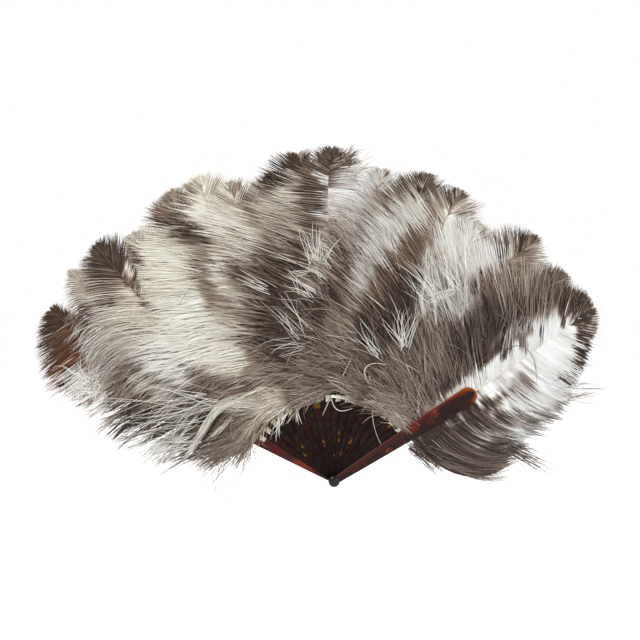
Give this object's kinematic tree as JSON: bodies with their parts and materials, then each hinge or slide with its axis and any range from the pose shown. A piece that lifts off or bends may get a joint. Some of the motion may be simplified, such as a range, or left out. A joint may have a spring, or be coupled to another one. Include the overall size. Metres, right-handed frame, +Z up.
{
  "type": "feather fan",
  "caption": "Folding hand fan of overlapping shell sticks on one pivot pin, with a long ostrich plume on each stick and a spacing ribbon; shown open.",
  "frame": {"origin": "on the pivot pin's axis, at the rear cap's outer flat face", "axes": "+Z up along the middle of the open fan, +X to the right seen from the front, +Y to the back along the pivot pin"},
  "size_m": [0.6541, 0.0575, 0.3863],
  "materials": {
    "guard_shell": "polished tortoiseshell, dark red-brown with amber edges",
    "stick_shell": "polished tortoiseshell, near black with amber flecks",
    "cap_shell": "polished dark shell",
    "pin_metal": "plain drawn wire",
    "ribbon_silk": "cream silk satin",
    "plume_brown": "natural brown-grey ostrich plume with loose barbs",
    "plume_pale": "cream-white ostrich plume with loose barbs"
  },
  "bodies": {
    "rear_guard_body": {"rear_guard": "guard_shell", "rear_guard_plume": "plume_brown", "ribbon_span_01": "ribbon_silk", "pivot_pin": "pin_metal", "rear_cap": "cap_shell", "front_cap": "cap_shell"},
    "stick_01_body": {"stick_01": "stick_shell", "plume_01": "plume_pale", "ribbon_span_02": "ribbon_silk"},
    "stick_02_body": {"stick_02": "stick_shell", "plume_02": "plume_brown", "ribbon_span_03": "ribbon_silk"},
    "stick_03_body": {"stick_03": "stick_shell", "plume_03": "plume_pale", "ribbon_span_04": "ribbon_silk"},
    "stick_04_body": {"stick_04": "stick_shell", "plume_04": "plume_brown", "ribbon_span_05": "ribbon_silk"},
    "stick_05_body": {"stick_05": "stick_shell", "plume_05": "plume_pale", "ribbon_span_06": "ribbon_silk"},
    "stick_06_body": {"stick_06": "stick_shell", "plume_06": "plume_brown", "ribbon_span_07": "ribbon_silk"},
    "stick_07_body": {"stick_07": "stick_shell", "plume_07": "plume_pale", "ribbon_span_08": "ribbon_silk"},
    "stick_08_body": {"stick_08": "stick_shell", "plume_08": "plume_brown", "ribbon_span_09": "ribbon_silk"},
    "stick_09_body": {"stick_09": "stick_shell", "plume_09": "plume_pale", "ribbon_span_10": "ribbon_silk"},
    "stick_10_body": {"stick_10": "stick_shell", "plume_10": "plume_brown", "ribbon_span_11": "ribbon_silk"},
    "stick_11_body": {"stick_11": "stick_shell", "plume_11": "plume_pale", "ribbon_span_12": "ribbon_silk"},
    "stick_12_body": {"stick_12": "stick_shell", "plume_12": "plume_brown", "ribbon_span_13": "ribbon_silk"},
    "stick_13_body": {"stick_13": "stick_shell", "plume_13": "plume_pale", "ribbon_span_14": "ribbon_silk"},
    "stick_14_body": {"stick_14": "stick_shell", "plume_14": "plume_brown", "ribbon_span_15": "ribbon_silk"},
    "stick_15_body": {"stick_15": "stick_shell", "plume_15": "plume_pale", "ribbon_span_16": "ribbon_silk"},
    "stick_16_body": {"stick_16": "stick_shell", "plume_16": "plume_brown", "ribbon_span_17": "ribbon_silk"},
    "front_guard_body": {"front_guard": "guard_shell", "front_guard_plume": "plume_pale"}
  },
  "joints": [
    {"name": "fan_fold", "type": "hinge", "parent": "rear_guard_body", "child": "front_guard_body", "pos_m": [0, 0, 0], "axis": [0, -1, 0], "range_deg": [0, 119]},
    {"name": "stick_01_turn", "type": "hinge", "parent": "rear_guard_body", "child": "stick_01_body", "pos_m": [0, 0, 0], "axis": [0, -1, 0], "range_deg": [0, 7]},
    {"name": "stick_02_turn", "type": "hinge", "parent": "rear_guard_body", "child": "stick_02_body", "pos_m": [0, 0, 0], "axis": [0, -1, 0], "range_deg": [0, 14]},
    {"name": "stick_03_turn", "type": "hinge", "parent": "rear_guard_body", "child": "stick_03_body", "pos_m": [0, 0, 0], "axis": [0, -1, 0], "range_deg": [0, 21]},
    {"name": "stick_04_turn", "type": "hinge", "parent": "rear_guard_body", "child": "stick_04_body", "pos_m": [0, 0, 0], "axis": [0, -1, 0], "range_deg": [0, 28]},
    {"name": "stick_05_turn", "type": "hinge", "parent": "rear_guard_body", "child": "stick_05_body", "pos_m": [0, 0, 0], "axis": [0, -1, 0], "range_deg": [0, 35]},
    {"name": "stick_06_turn", "type": "hinge", "parent": "rear_guard_body", "child": "stick_06_body", "pos_m": [0, 0, 0], "axis": [0, -1, 0], "range_deg": [0, 42]},
    {"name": "stick_07_turn", "type": "hinge", "parent": "rear_guard_body", "child": "stick_07_body", "pos_m": [0, 0, 0], "axis": [0, -1, 0], "range_deg": [0, 49]},
    {"name": "stick_08_turn", "type": "hinge", "parent": "rear_guard_body", "child": "stick_08_body", "pos_m": [0, 0, 0], "axis": [0, -1, 0], "range_deg": [0, 56]},
    {"name": "stick_09_turn", "type": "hinge", "parent": "rear_guard_body", "child": "stick_09_body", "pos_m": [0, 0, 0], "axis": [0, -1, 0], "range_deg": [0, 63]},
    {"name": "stick_10_turn", "type": "hinge", "parent": "rear_guard_body", "child": "stick_10_body", "pos_m": [0, 0, 0], "axis": [0, -1, 0], "range_deg": [0, 70]},
    {"name": "stick_11_turn", "type": "hinge", "parent": "rear_guard_body", "child": "stick_11_body", "pos_m": [0, 0, 0], "axis": [0, -1, 0], "range_deg": [0, 77]},
    {"name": "stick_12_turn", "type": "hinge", "parent": "rear_guard_body", "child": "stick_12_body", "pos_m": [0, 0, 0], "axis": [0, -1, 0], "range_deg": [0, 84]},
    {"name": "stick_13_turn", "type": "hinge", "parent": "rear_guard_body", "child": "stick_13_body", "pos_m": [0, 0, 0], "axis": [0, -1, 0], "range_deg": [0, 91]},
    {"name": "stick_14_turn", "type": "hinge", "parent": "rear_guard_body", "child": "stick_14_body", "pos_m": [0, 0, 0], "axis": [0, -1, 0], "range_deg": [0, 98]},
    {"name": "stick_15_turn", "type": "hinge", "parent": "rear_guard_body", "child": "stick_15_body", "pos_m": [0, 0, 0], "axis": [0, -1, 0], "range_deg": [0, 105]},
    {"name": "stick_16_turn", "type": "hinge", "parent": "rear_guard_body", "child": "stick_16_body", "pos_m": [0, 0, 0], "axis": [0, -1, 0], "range_deg": [0, 112]}
  ],
  "couplings": [
    {"joint": "stick_01_turn", "follows": "fan_fold", "ratio": 0.058824},
    {"joint": "stick_02_turn", "follows": "fan_fold", "ratio": 0.11765},
    {"joint": "stick_03_turn", "follows": "fan_fold", "ratio": 0.17647},
    {"joint": "stick_04_turn", "follows": "fan_fold", "ratio": 0.23529},
    {"joint": "stick_05_turn", "follows": "fan_fold", "ratio": 0.29412},
    {"joint": "stick_06_turn", "follows": "fan_fold", "ratio": 0.35294},
    {"joint": "stick_07_turn", "follows": "fan_fold", "ratio": 0.41176},
    {"joint": "stick_08_turn", "follows": "fan_fold", "ratio": 0.47059},
    {"joint": "stick_09_turn", "follows": "fan_fold", "ratio": 0.52941},
    {"joint": "stick_10_turn", "follows": "fan_fold", "ratio": 0.58824},
    {"joint": "stick_11_turn", "follows": "fan_fold", "ratio": 0.64706},
    {"joint": "stick_12_turn", "follows": "fan_fold", "ratio": 0.70588},
    {"joint": "stick_13_turn", "follows": "fan_fold", "ratio": 0.76471},
    {"joint": "stick_14_turn", "follows": "fan_fold", "ratio": 0.82353},
    {"joint": "stick_15_turn", "follows": "fan_fold", "ratio": 0.88235},
    {"joint": "stick_16_turn", "follows": "fan_fold", "ratio": 0.94118}
  ]
}
